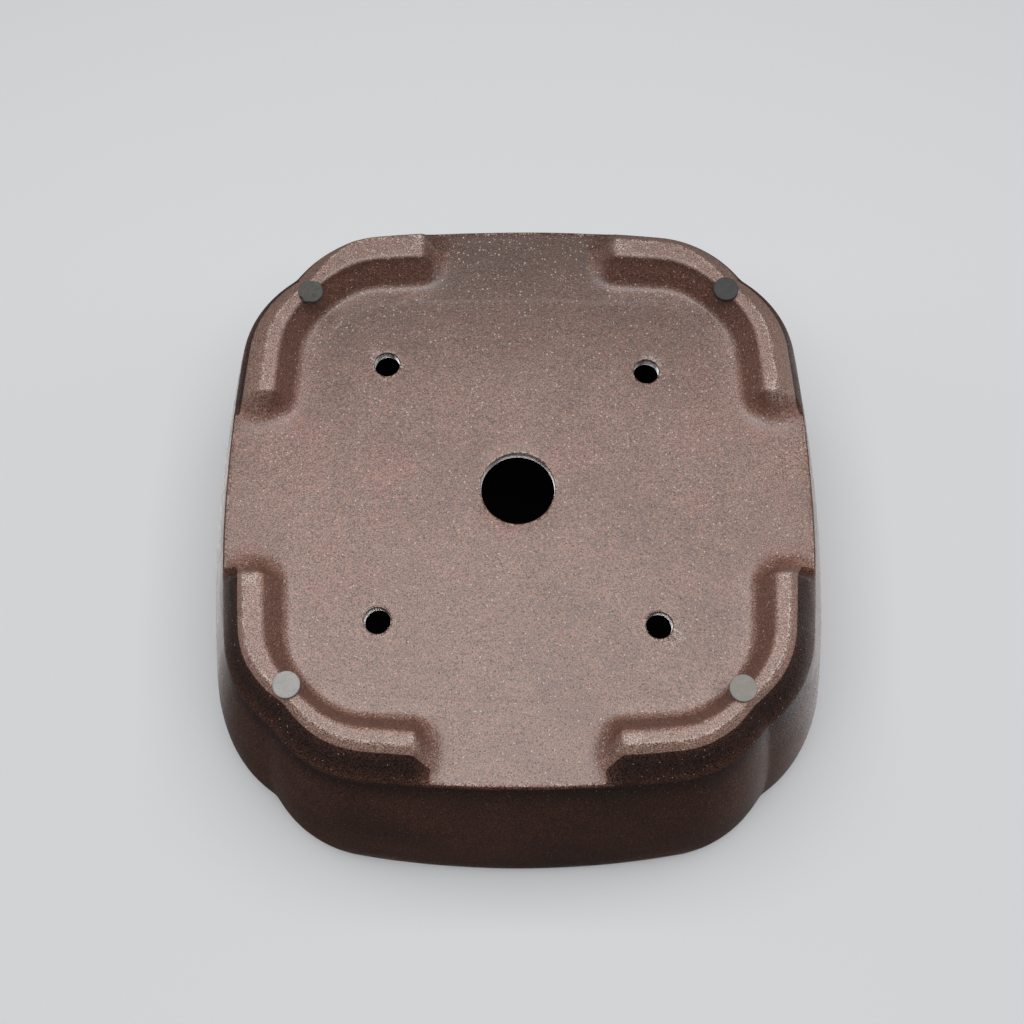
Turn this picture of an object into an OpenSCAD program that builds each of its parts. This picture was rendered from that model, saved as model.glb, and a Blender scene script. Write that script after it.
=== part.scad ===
// Four-lobed bonsai pot in unglazed stoneware, standing on four curved corner feet.
// Origin: middle of the surface that the pot stands on. +Z runs up through the soil.
// Each lobe bulges towards +X, -X, +Y or -Y, and two lobes meet in a notch on each diagonal.

/* [Outline] */
// Half-width over two opposite lobes at the floor's underside
base_half_w = 107; // [104:0.5:110]
// Middle of the pot to a corner notch at the floor's underside
base_notch_r = 121; // [119:0.5:123]
// Radius of a lobe's long bowed side at the floor's underside
base_side_r = 550; // [450:10:700]
// Radius of a lobe's shoulder at the floor's underside
base_shoulder_r = 41; // [38:0.5:44]
// Half-width over two opposite lobes at the rim
rim_half_w = 129; // [127:0.5:132]
// Middle of the pot to a corner notch at the rim
rim_notch_r = 141; // [139:0.5:143]
// Radius of a lobe's long bowed side at the rim
rim_side_r = 390; // [350:10:500]
// Radius of a lobe's shoulder at the rim
rim_shoulder_r = 50; // [47:0.5:53]

/* [Wall] */
// Height from the floor's underside to the rim
wall_h = 100; // [85:1:115]
// Thickness of the wall, measured level
wall_t = 7; // [5:0.5:9]
// How fast the wall turns upright: 1 is a straight flare
flare_power = 1.4; // [1:0.1:2]
// Height of the inner lip below the rim
lip_h = 8; // [5:0.5:12]
// How far the inner lip stands in from the wall
lip_w = 4; // [2:0.5:6]

/* [Floor] */
// Thickness of the floor slab
floor_t = 5; // [4:0.5:9]
// Diameter of the drain hole in the middle
drain_d = 27; // [20:0.5:35]
// Diameter of a hole for a tie wire
wire_hole_d = 9.4; // [6:0.2:12]
// Distance between neighbouring wire holes
wire_hole_pitch = 99; // [80:1:120]

/* [Feet] */
// Height of a foot below the floor
foot_h = 13; // [10:0.5:18]
// How far a foot's outer face leans in towards the ground
foot_lean = 7.5; // [4:0.5:10]
// Width of the ground face of a foot
foot_face_w = 8.5; // [7:0.5:11]
// How far a foot's inner face spreads out towards the floor
foot_spread = 5; // [2:0.5:7]
// Open gap between two feet at the floor
gap_w = 63; // [50:1:75]
// How much each foot end leans back towards the ground
foot_end_lean = 3.5; // [1:0.5:6]

/* [Pads] */
// Diameter of a stick-on pad
pad_d = 10; // [8:0.5:11]
// Thickness of a pad with its adhesive film
pad_t = 2; // [1.5:0.1:3]
// Thickness of the adhesive film
film_t = 0.4; // [0.2:0.1:0.6]
// Distance of a pad's middle in from the notch of its foot
pad_inset = 5.5; // [4.5:0.5:7]

/* [Hidden] */

// Steps along a lobe's side and along its shoulder, from the middle of the lobe to the notch
SIDE_STEPS = 5;
SHOULDER_STEPS = 8;
// More steps than that on the clockwise half of a whole lobe
EXTRA_STEPS = 1;
// Steps up the wall
WALL_STEPS = 7;
// Play between the inner wall and what is seated in it
SEAT_PLAY = 0.02;
FRONT = 270;
RIGHT = 0;
BACK = 90;
LEFT = 180;

floor_z = pad_t + foot_h;
rim_z = floor_z + wall_h;
seat_z = floor_z + floor_t;
pad_r = pad_d / 2;

// A lobe's outline at one level is [half-width, notch distance, side radius, shoulder radius]
BASE = [base_half_w, base_notch_r, base_side_r, base_shoulder_r];
RIM = [rim_half_w, rim_notch_r, rim_side_r, rim_shoulder_r];

// Outline of the outer surface at height z between the floor's underside and the rim
function flare(z) = 1 - pow(max(0, 1 - (z - floor_z) / wall_h), flare_power);
function level(z) = BASE + (RIM - BASE) * flare(z);

// Angle at which a lobe's side turns into its shoulder, so that the shoulder meets the notch
function turn_angle(lv) =
    let (nx = lv[1] * cos(45) - (lv[0] - lv[2]),
         ny = lv[1] * sin(45),
         gap = lv[2] - lv[3],
         reach = norm([nx, ny]))
    atan2(ny, nx) - acos((reach * reach + gap * gap - lv[3] * lv[3]) / (2 * gap * reach));

// Centre of the shoulder arc of the lobe that faces +X
function shoulder_centre(lv) =
    let (a = turn_angle(lv))
    [lv[0] - lv[2] + (lv[2] - lv[3]) * cos(a), (lv[2] - lv[3]) * sin(a)];

// Angle at which the shoulder arc, moved in by inset, meets the diagonal
function notch_angle(lv, inset) =
    let (c = shoulder_centre(lv))
    45 + asin((c.x - c.y) / ((lv[3] - inset) * sqrt(2)));

// Points from height y_start on the side of the +X lobe up to the diagonal
function half_lobe(lv, inset, y_start = 0, extra = 0) =
    let (turn = turn_angle(lv),
         r_side = lv[2] - inset,
         r_shoulder = lv[3] - inset,
         c = shoulder_centre(lv),
         side_steps = SIDE_STEPS + extra,
         shoulder_steps = SHOULDER_STEPS + extra,
         first = asin(y_start / r_side),
         last = notch_angle(lv, inset))
    concat(
        [for (i = [0 : side_steps - 1])
            let (a = first + (turn - first) * i / side_steps)
            [lv[0] - lv[2] + r_side * cos(a), r_side * sin(a)]],
        [for (i = [0 : shoulder_steps])
            let (a = turn + (last - turn) * i / shoulder_steps)
            [c.x + r_shoulder * cos(a), c.y + r_shoulder * sin(a)]]);

// The whole +X lobe, from one diagonal to the other
function whole_lobe(lv, inset) =
    let (half = half_lobe(lv, inset),
         other = half_lobe(lv, inset, extra = EXTRA_STEPS),
         n = len(other))
    concat([for (i = [n - 1 : -1 : 1]) [other[i].x, -other[i].y]], half);

// One corner, from y_start on the +X lobe round to the same place on the +Y lobe
function corner_path(lv, inset, y_start) =
    let (half = half_lobe(lv, inset, y_start), n = len(half))
    concat(half, [for (i = [n - 2 : -1 : 0]) [half[i].y, half[i].x]]);

// The closed four-lobed outline
function full_outline(lv, inset) =
    let (lobe = whole_lobe(lv, inset), n = len(lobe))
    [for (k = [0 : 3], i = [0 : n - 2])
        [lobe[i].x * cos(90 * k) - lobe[i].y * sin(90 * k),
         lobe[i].x * sin(90 * k) + lobe[i].y * cos(90 * k)]];

// Solid whose cross-section rings follow each other along rails. rails[j][i] is point i of rail j,
// and the rails run round the cross-section anticlockwise, seen against the direction of i.
module rail_solid(rails) {
    m = len(rails);
    n = len(rails[0]);
    points = [for (i = [0 : n - 1], j = [0 : m - 1]) rails[j][i]];
    sides = [for (i = [0 : n - 2], j = [0 : m - 1])
        let (k = (j + 1) % m)
        each [[i * m + j, i * m + k, (i + 1) * m + k],
              [i * m + j, (i + 1) * m + k, (i + 1) * m + j]]];
    first_cap = [for (j = [m - 1 : -1 : 0]) j];
    last_cap = [for (j = [0 : m - 1]) (n - 1) * m + j];
    polyhedron(points = points, faces = concat(sides, [first_cap, last_cap]), convexity = 6);
}

function at_height(path, z) = [for (p = path) [p.x, p.y, z]];

// Colour of the clay
module clay() { color([0.36, 0.24, 0.21]) children(); }

module floor_slab() {
    clay() difference() {
        translate([0, 0, floor_z]) linear_extrude(floor_t) polygon(full_outline(BASE, wall_t));
        translate([0, 0, floor_z - 1]) cylinder(d = drain_d, h = floor_t + 2, $fn = 96);
        for (sx = [-1, 1], sy = [-1, 1])
            translate([sx * wire_hole_pitch / 2, sy * wire_hole_pitch / 2, floor_z - 1])
                cylinder(d = wire_hole_d, h = floor_t + 2, $fn = 48);
    }
}

// One lobe of the wall. It stands round the floor slab and carries the lip inside its top.
module wall_panel(facing) {
    outer = [for (i = [0 : WALL_STEPS])
        let (z = floor_z + wall_h * i / WALL_STEPS)
        at_height(whole_lobe(level(z), 0), z)];
    inner_top = rim_z - lip_h;
    inner = [for (i = [WALL_STEPS : -1 : 0])
        let (z = seat_z + (inner_top - seat_z) * i / WALL_STEPS,
             lv = i == 0 ? BASE : i == WALL_STEPS ? RIM : level(z))
        at_height(whole_lobe(lv, wall_t - SEAT_PLAY), z)];
    top_edge = at_height(whole_lobe(RIM, wall_t), rim_z);
    bottom_edge = at_height(whole_lobe(BASE, wall_t), floor_z);
    clay() rotate([0, 0, facing]) rail_solid(concat(outer, [top_edge], inner, [bottom_edge]));
}

module wall_panel_front() { wall_panel(FRONT); }
module wall_panel_right() { wall_panel(RIGHT); }
module wall_panel_back() { wall_panel(BACK); }
module wall_panel_left() { wall_panel(LEFT); }

module rim_lip() {
    clay() translate([0, 0, rim_z - lip_h]) linear_extrude(lip_h) difference() {
        polygon(full_outline(RIM, wall_t));
        polygon(full_outline(RIM, wall_t + lip_w));
    }
}

// One foot follows two lobes round a corner. first_lobe is the lobe that it starts from.
module foot(first_lobe) {
    top_w = foot_lean + foot_face_w + foot_spread;
    start_top = gap_w / 2;
    start_bottom = start_top + foot_end_lean;
    clay() rotate([0, 0, first_lobe]) rail_solid([
        at_height(corner_path(BASE, foot_lean, start_bottom), pad_t),
        at_height(corner_path(BASE, 0, start_top), floor_z),
        at_height(corner_path(BASE, top_w, start_top), floor_z),
        at_height(corner_path(BASE, foot_lean + foot_face_w, start_bottom), pad_t)]);
}

module foot_front_right() { foot(FRONT); }
module foot_back_right() { foot(RIGHT); }
module foot_back_left() { foot(BACK); }
module foot_front_left() { foot(LEFT); }

// Moves its children to the pad's place under the foot that starts from first_lobe
module at_pad(first_lobe) {
    c = shoulder_centre(BASE);
    a = notch_angle(BASE, foot_lean);
    notch = [c.x + (base_shoulder_r - foot_lean) * cos(a), c.y + (base_shoulder_r - foot_lean) * sin(a)];
    rotate([0, 0, first_lobe + 45]) translate([norm(notch) - pad_inset, 0, 0]) children();
}

module pad(first_lobe) {
    color([0.52, 0.54, 0.53]) at_pad(first_lobe) cylinder(r = pad_r, h = pad_t - film_t, $fn = 48);
}

module pad_front_right() { pad(FRONT); }
module pad_back_right() { pad(RIGHT); }
module pad_back_left() { pad(BACK); }
module pad_front_left() { pad(LEFT); }

module pad_film(first_lobe) {
    color([0.1, 0.1, 0.1]) at_pad(first_lobe)
        translate([0, 0, pad_t - film_t]) cylinder(r = pad_r, h = film_t, $fn = 48);
}

module pad_film_front_right() { pad_film(FRONT); }
module pad_film_back_right() { pad_film(RIGHT); }
module pad_film_back_left() { pad_film(BACK); }
module pad_film_front_left() { pad_film(LEFT); }

floor_slab();
wall_panel_front();
wall_panel_right();
wall_panel_back();
wall_panel_left();
rim_lip();
foot_front_right();
foot_back_right();
foot_back_left();
foot_front_left();
pad_front_right();
pad_back_right();
pad_back_left();
pad_front_left();
pad_film_front_right();
pad_film_back_right();
pad_film_back_left();
pad_film_front_left();
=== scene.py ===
"""Bare four-lobed bonsai pot in unglazed stoneware, shown from underneath, with its stick-on pads.

The pot is one fired body, drawn up from a circle ring after ring, with the wire holes cut through
its floor. Four grey pads lie under its feet, each on an adhesive film whose near-black tone is
painted shade round the pad.
"""

import logging
import math
from dataclasses import dataclass, field
from enum import Enum

import bmesh
import bpy
import numpy as np
from mathutils import Matrix, Vector, kdtree, noise


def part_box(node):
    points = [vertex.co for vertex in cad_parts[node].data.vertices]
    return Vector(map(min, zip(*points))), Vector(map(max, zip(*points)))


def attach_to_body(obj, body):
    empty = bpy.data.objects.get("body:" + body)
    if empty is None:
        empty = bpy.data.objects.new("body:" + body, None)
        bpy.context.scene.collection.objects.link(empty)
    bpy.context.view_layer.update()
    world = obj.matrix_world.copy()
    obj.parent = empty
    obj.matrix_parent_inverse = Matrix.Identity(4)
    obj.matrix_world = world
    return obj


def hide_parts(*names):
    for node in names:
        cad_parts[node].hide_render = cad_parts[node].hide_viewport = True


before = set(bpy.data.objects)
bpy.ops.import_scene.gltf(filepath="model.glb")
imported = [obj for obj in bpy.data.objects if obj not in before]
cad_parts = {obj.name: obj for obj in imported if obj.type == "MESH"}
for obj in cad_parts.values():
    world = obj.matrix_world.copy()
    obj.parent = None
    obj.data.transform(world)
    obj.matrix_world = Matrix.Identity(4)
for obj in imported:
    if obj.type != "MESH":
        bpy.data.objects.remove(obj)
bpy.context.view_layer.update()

LOG = logging.getLogger("bonsai_pot")


class Corner(Enum):
    """The pot's corners, by the quarter turns from the one between the right and back lobes."""

    BACK_RIGHT = 0
    BACK_LEFT = 1
    FRONT_LEFT = 2
    FRONT_RIGHT = 3

    @property
    def tag(self) -> str:
        """The corner's name as the CAD nodes spell it."""
        return self.name.lower()


class Mark(Enum):
    """What the clay's finish follows, kept as one value a point from 0 to 1."""

    BURNISH = "burnish"
    GROUND = "ground"
    BANK = "bank"
    COVE = "cove"
    EDGE = "edge"
    SMOKE = "smoke"
    BORE = "bore"


# ---------------------------------------------------------------------------------------------
# Shader expressions
# ---------------------------------------------------------------------------------------------


class Signal:
    """A shader socket that takes part in Python expressions on values."""

    def __init__(self, sheet: "ShaderSheet", socket: bpy.types.NodeSocket) -> None:
        """Wraps a socket.

        Args:
            sheet: The shader that the socket belongs to.
            socket: The output socket.
        """
        self.sheet = sheet
        self.socket = socket

    def _math(self, operation: str, first: "Signal | float", second: "Signal | float" = 0.0,
              third: "Signal | float" = 0.0) -> "Signal":
        """Adds a Math node.

        Args:
            operation: The node's operation.
            first: The first value.
            second: The second value.
            third: The third value.

        Returns:
            The node's result.
        """
        return self.sheet.add("ShaderNodeMath", {"operation": operation},
                              {"Value": first, "Value_001": second, "Value_002": third})

    def __add__(self, other: "Signal | float") -> "Signal":
        """self + other"""
        return self._math("ADD", self, other)

    def __radd__(self, other: float) -> "Signal":
        """other + self"""
        return self._math("ADD", other, self)

    def __sub__(self, other: "Signal | float") -> "Signal":
        """self - other"""
        return self._math("SUBTRACT", self, other)

    def __rsub__(self, other: float) -> "Signal":
        """other - self"""
        return self._math("SUBTRACT", other, self)

    def __mul__(self, other: "Signal | float") -> "Signal":
        """self * other"""
        return self._math("MULTIPLY", self, other)

    def __rmul__(self, other: float) -> "Signal":
        """other * self"""
        return self._math("MULTIPLY", other, self)

    def step(self, low: float, high: float) -> "Signal":
        """Rises smoothly from 0 at low to 1 at high, or falls where high is below low.

        Args:
            low: The value that gives 0.
            high: The value that gives 1.

        Returns:
            The smooth step.
        """
        if high < low:
            return 1.0 - self.step(high, low)
        return self.sheet.add("ShaderNodeMapRange", {"interpolation_type": "SMOOTHSTEP"},
                              {"Value": self, "From Min": low, "From Max": high})


Colour = tuple[float, float, float]


class ShaderSheet:
    """A material whose nodes are added one after another."""

    def __init__(self, name: str) -> None:
        """Starts an empty material.

        Args:
            name: The material's name.
        """
        self.material = bpy.data.materials.new(name)
        self.material.use_nodes = True
        self.tree = self.material.node_tree
        self.tree.nodes.clear()
        self.place = self.add("ShaderNodeTexCoord", output="Object")

    def add(self, kind: str, settings: dict | None = None, inputs: dict | None = None,
            output: str | None = None) -> Signal:
        """Adds one node.

        Args:
            kind: The node's type.
            settings: The node's own settings.
            inputs: Values or signals by the identifier or the name of the socket.
            output: The name of the output, or None for the first one in use.

        Returns:
            The chosen output.
        """
        node = self.tree.nodes.new(kind)
        for name, value in (settings or {}).items():
            setattr(node, name, value)
        for name, value in (inputs or {}).items():
            by_identifier = (s for s in node.inputs if s.identifier == name)
            socket = next(by_identifier, None) or node.inputs[name]
            if isinstance(value, Signal):
                self.tree.links.new(value.socket, socket)
            elif isinstance(value, tuple) and socket.type == "RGBA":
                socket.default_value = (*value, 1.0)
            else:
                socket.default_value = value
        live = [s for s in node.outputs if s.enabled]
        named = [s for s in live if output in (None, s.name)]
        return Signal(self, named[0] if named else None)

    def mark(self, mark: Mark) -> Signal:
        """The value of one of the clay's marks."""
        return self.add("ShaderNodeAttribute", {"attribute_name": mark.value}, output="Fac")

    def noise(self, size: float, detail: float = 2.0, rough: float = 0.5,
              vector: Signal | None = None) -> Signal:
        """Noise from 0 to 1 whose features are about size metres across.

        Args:
            size: The size of a feature in metres.
            detail: How many finer layers it has.
            rough: How strong the finer layers are.
            vector: The place, or None for the piece's own coordinates.

        Returns:
            The noise.
        """
        return self.add("ShaderNodeTexNoise", None,
                        {"Vector": vector or self.place, "Scale": 1 / size, "Detail": detail,
                         "Roughness": rough})

    def grains(self, spacing: float, radius: float, share: float, shift: float = 0.0) -> Signal:
        """Separate round grains.

        Args:
            spacing: The mean distance between two cells in metres.
            radius: A grain's radius as a share of the spacing.
            share: The share of the cells that hold a grain.
            shift: A move of the pattern, so that two sorts of grain differ.

        Returns:
            1 in the middle of a grain and 0 between grains.
        """
        moved = self.add("ShaderNodeVectorMath", {"operation": "ADD"},
                         {"Vector": self.place, "Vector_001": (shift, shift, shift)})
        inputs = {"Vector": moved, "Scale": 1 / spacing}
        node = self.add("ShaderNodeTexVoronoi", {"feature": "F1"}, inputs, output="Distance")
        tint = Signal(self, node.socket.node.outputs["Color"])
        pick = self.add("ShaderNodeSeparateColor", None, {"Color": tint})
        return node.step(radius, radius * 0.55) * pick.step(1 - share, 1 - share + 0.02)

    def blend(self, factor: Signal | float, first: Signal | Colour, second: Signal | Colour,
              kind: str = "MIX") -> Signal:
        """Mixes two colours.

        Args:
            factor: 0 for the first colour and 1 for the second.
            first: The first colour.
            second: The second colour.
            kind: The blend type.

        Returns:
            The mixed colour.
        """
        return self.add("ShaderNodeMix",
                        {"data_type": "RGBA", "blend_type": kind, "clamp_factor": True},
                        {"Factor_Float": factor, "A_Color": first, "B_Color": second})

    def bump(self, height: Signal, depth: float, under: Signal | None = None,
             strength: float = 1.0) -> Signal:
        """Turns a height into a bumped normal.

        Args:
            height: The height from 0 to 1.
            depth: What a height of 1 stands for, in metres.
            under: Another bumped normal to start from.
            strength: The share of the bump that is used.

        Returns:
            The normal.
        """
        inputs = {"Height": height, "Distance": depth, "Strength": strength}
        if under is not None:
            inputs["Normal"] = under
        return self.add("ShaderNodeBump", None, inputs)

    def finish(self, inputs: dict) -> bpy.types.Material:
        """Adds the surface shader and the material's output.

        Args:
            inputs: Values or signals for the surface shader's sockets.

        Returns:
            The material.
        """
        surface = self.add("ShaderNodeBsdfPrincipled", None, inputs)
        self.add_output(surface)
        return self.material

    def add_output(self, surface: Signal) -> None:
        """Sends a shader to the material's output."""
        node = self.tree.nodes.new("ShaderNodeOutputMaterial")
        self.tree.links.new(surface.socket, node.inputs["Surface"])


# ---------------------------------------------------------------------------------------------
# Modelling
# ---------------------------------------------------------------------------------------------


def deselect_all() -> None:
    """Leaves edit mode and deselects every object."""
    if bpy.context.object is not None and bpy.context.object.mode != "OBJECT":
        bpy.ops.object.mode_set(mode="OBJECT")
    bpy.ops.object.select_all(action="DESELECT")


def take(piece: bpy.types.Object) -> None:
    """Makes a piece the only selected and active one."""
    deselect_all()
    piece.select_set(True)
    bpy.context.view_layer.objects.active = piece


class RingSkin:
    """A skin drawn from one circle by extruding it ring after ring in edit mode."""

    def __init__(self, name: str, first: np.ndarray) -> None:
        """Adds the circle and puts it on the first ring.

        Args:
            name: The piece's name.
            first: The first ring's points.
        """
        deselect_all()
        bpy.ops.mesh.primitive_circle_add(vertices=len(first), radius=0.1, location=(0, 0, 0))
        self.piece = bpy.context.object
        self.piece.name = self.piece.data.name = name
        station = self.piece.data.attributes.new("station", "INT", "POINT")
        station.data.foreach_set("value", np.arange(len(first), dtype=np.int32))
        bpy.ops.object.mode_set(mode="EDIT")
        bpy.ops.mesh.select_all(action="SELECT")
        self._place(first)
        self.first = first

    def _place(self, ring: np.ndarray) -> None:
        """Moves the selected points onto a ring.

        Args:
            ring: The ring's points, by station.
        """
        cage = bmesh.from_edit_mesh(self.piece.data)
        station = cage.verts.layers.int["station"]
        for point in cage.verts:
            if point.select:
                point.co = ring[point[station]]
        bmesh.update_edit_mesh(self.piece.data)

    def grow(self, ring: np.ndarray) -> None:
        """Extrudes the edge of the skin onto the next ring."""
        bpy.ops.mesh.extrude_region_move()
        self._place(ring)

    def cap(self) -> None:
        """Closes the open ring that is selected with a face."""
        bpy.ops.mesh.edge_face_add()

    def cap_first(self) -> None:
        """Closes the first ring with a face."""
        bpy.ops.mesh.select_all(action="DESELECT")
        bpy.ops.mesh.select_mode(type="VERT")
        bpy.ops.mesh.select_non_manifold(extend=False)
        bpy.ops.mesh.edge_face_add()

    def done(self) -> bpy.types.Object:
        """Merges doubles, points the faces outwards and leaves edit mode.

        Returns:
            The piece.
        """
        bpy.ops.mesh.select_all(action="SELECT")
        bpy.ops.mesh.remove_doubles(threshold=1e-6)
        bpy.ops.mesh.normals_make_consistent(inside=False)
        bpy.ops.object.mode_set(mode="OBJECT")
        return self.piece


def circle(middle: tuple[float, float], radius: float | np.ndarray, bearings: np.ndarray,
           z: float) -> np.ndarray:
    """Points on a level circle.

    Args:
        middle: The x and y of its middle.
        radius: Its radius, one for all or one a bearing.
        bearings: The points' bearings in radians.
        z: Its height.

    Returns:
        The points.
    """
    return np.column_stack([middle[0] + radius * np.cos(bearings),
                            middle[1] + radius * np.sin(bearings), np.full(len(bearings), z)])


def smooth(piece: bpy.types.Object, angle: float) -> None:
    """Shades a piece smooth except over edges that turn by more than an angle in degrees."""
    take(piece)
    bpy.ops.object.shade_smooth_by_angle(angle=math.radians(angle))


def wobble(points: np.ndarray, size: float, depth: float, seed: float) -> np.ndarray:
    """Slow noise over a set of points.

    Args:
        points: The points.
        size: The size of a swell in metres.
        depth: The largest value.
        seed: Moves the pattern.

    Returns:
        One value a point, from -depth to depth.
    """
    shift = Vector((seed, -seed, 0.5 * seed))
    return depth * np.array([noise.noise(Vector(p) / size + shift) for p in points])


# ---------------------------------------------------------------------------------------------
# The pot's outline
# ---------------------------------------------------------------------------------------------


@dataclass(frozen=True)
class Stations:
    """Places round the outline, eight equal runs of them, from the right lobe's middle.

    Attributes:
        along: 0 at a lobe's middle, 1 where its side turns into the shoulder, 2 in the notch.
        octant: The number of the run, from 0 to 7.
        share: How much of the foot's height stands there, from 0 in a gap to 1.
        past_end: The distance from the start of the octant's foot, in metres, below 0 in a gap.
    """

    along: np.ndarray
    octant: np.ndarray
    share: np.ndarray
    past_end: np.ndarray


@dataclass(frozen=True)
class LobeLine:
    """Outline of the four lobes at one level, with one value or one a station in each field."""

    half_width: float | np.ndarray
    notch: float | np.ndarray
    side_radius: float | np.ndarray
    shoulder_radius: float | np.ndarray

    def mixed(self, other: "LobeLine", share: float | np.ndarray) -> "LobeLine":
        """The outline between this one and another.

        Args:
            other: The other outline.
            share: 0 for this one and 1 for the other.

        Returns:
            The outline between them.
        """
        return LobeLine(*(a + (b - a) * share for a, b in (
            (self.half_width, other.half_width), (self.notch, other.notch),
            (self.side_radius, other.side_radius), (self.shoulder_radius, other.shoulder_radius))))

    def _shoulder(self) -> tuple[np.ndarray, np.ndarray, np.ndarray]:
        """The angle where a side turns into its shoulder, and the shoulder's middle."""
        left = self.half_width - self.side_radius
        leg = self.side_radius - self.shoulder_radius
        to_notch = (self.notch * math.sqrt(0.5) - left, self.notch * math.sqrt(0.5))
        reach = np.hypot(*to_notch)
        turn = np.arctan2(to_notch[1], to_notch[0]) - np.arccos(
            (reach**2 + leg**2 - self.shoulder_radius**2) / (2 * leg * reach))
        return turn, left + leg * np.cos(turn), leg * np.sin(turn)

    def side_place(self, y: float) -> float:
        """How far along a lobe's side a height y above its middle is, from 0 to 1."""
        return math.asin(y / self.side_radius) / float(self._shoulder()[0])

    def points(self, stations: Stations, inset: float | np.ndarray,
               soften: float | np.ndarray) -> np.ndarray:
        """The outline's points.

        Args:
            stations: Where along the outline.
            inset: How far inside the outline, in metres.
            soften: How far the notch's crease is softened, in metres.

        Returns:
            One x and y a station.
        """
        turn, cx, cy = self._shoulder()
        side = self.side_radius - inset
        shoulder = self.shoulder_radius - inset
        last = math.pi / 4 + np.arcsin(np.minimum((cx - cy) / (shoulder * math.sqrt(2)), 1.0))
        on_side = stations.along <= 1
        angle = np.where(on_side, turn * stations.along,
                         turn + (last - turn) * (stations.along - 1))
        x = np.where(on_side, self.half_width - self.side_radius + side * np.cos(angle),
                     cx + shoulder * np.cos(angle))
        y = np.where(on_side, side * np.sin(angle), cy + shoulder * np.sin(angle))
        across = (x - y) * math.sqrt(0.5)
        crease = np.tan(np.maximum(last - math.pi / 4, 0.0))
        lift = (np.sqrt(across**2 + soften**2) - across) * crease
        x, y = x + lift * math.sqrt(0.5), y + lift * math.sqrt(0.5)
        swap = stations.octant % 2 == 1
        x, y = np.where(swap, y, x), np.where(swap, x, y)
        quarter = (stations.octant // 2) * math.pi / 2
        c, s = np.cos(quarter), np.sin(quarter)
        return np.stack([x * c - y * s, x * s + y * c], axis=1)


@dataclass(frozen=True)
class Bank:
    """Side view of a bank: a cove at its foot, a straight slope and a rounded brow, in metres."""

    height: float
    cove: float
    brow: float
    slope: float

    @property
    def straight(self) -> float:
        """Length of the straight slope."""
        arcs = (self.cove + self.brow) * (1 - math.cos(self.slope))
        return (self.height - arcs) / math.sin(self.slope)

    @property
    def run(self) -> float:
        """The bank's width, seen from above."""
        return ((self.cove + self.brow) * math.sin(self.slope)
                + self.straight * math.cos(self.slope))

    def cuts(self, cove: int, slope: int, brow: int) -> np.ndarray:
        """Distances across the bank that follow its shape.

        Args:
            cove: Steps over the cove.
            slope: Steps over the straight slope.
            brow: Steps over the brow.

        Returns:
            Distances from 0 to the bank's run.
        """
        low = self.cove * np.sin(np.linspace(0, self.slope, cove + 1))
        mid = low[-1] + np.linspace(0, self.straight * math.cos(self.slope), slope + 1)[1:]
        high = self.run - self.brow * np.sin(np.linspace(self.slope, 0, brow + 1))[1:]
        return np.concatenate([low, mid, high])

    def rise(self, across: float | np.ndarray) -> np.ndarray:
        """The share of the bank's height at a distance across it.

        Args:
            across: The distance from the foot of the bank.

        Returns:
            A share from 0 to 1.
        """
        t = np.clip(across, 0, self.run)
        cove_end = self.cove * math.sin(self.slope)
        brow_start = self.run - self.brow * math.sin(self.slope)
        low = self.cove - np.sqrt(np.maximum(self.cove**2 - np.minimum(t, cove_end) ** 2, 0))
        mid = np.clip(t - cove_end, 0, brow_start - cove_end) * math.tan(self.slope)
        back = np.maximum(self.run - np.maximum(t, brow_start), 0)
        top = self.brow * (1 - math.cos(self.slope)) - (self.brow - np.sqrt(self.brow**2 - back**2))
        return np.clip((low + mid + top) / self.height, 0, 1)


# ---------------------------------------------------------------------------------------------
# The fired body
# ---------------------------------------------------------------------------------------------


@dataclass
class Ring:
    """One ring of the body: its points, and its marks by station."""

    points: np.ndarray
    marks: dict[Mark, np.ndarray]


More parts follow.
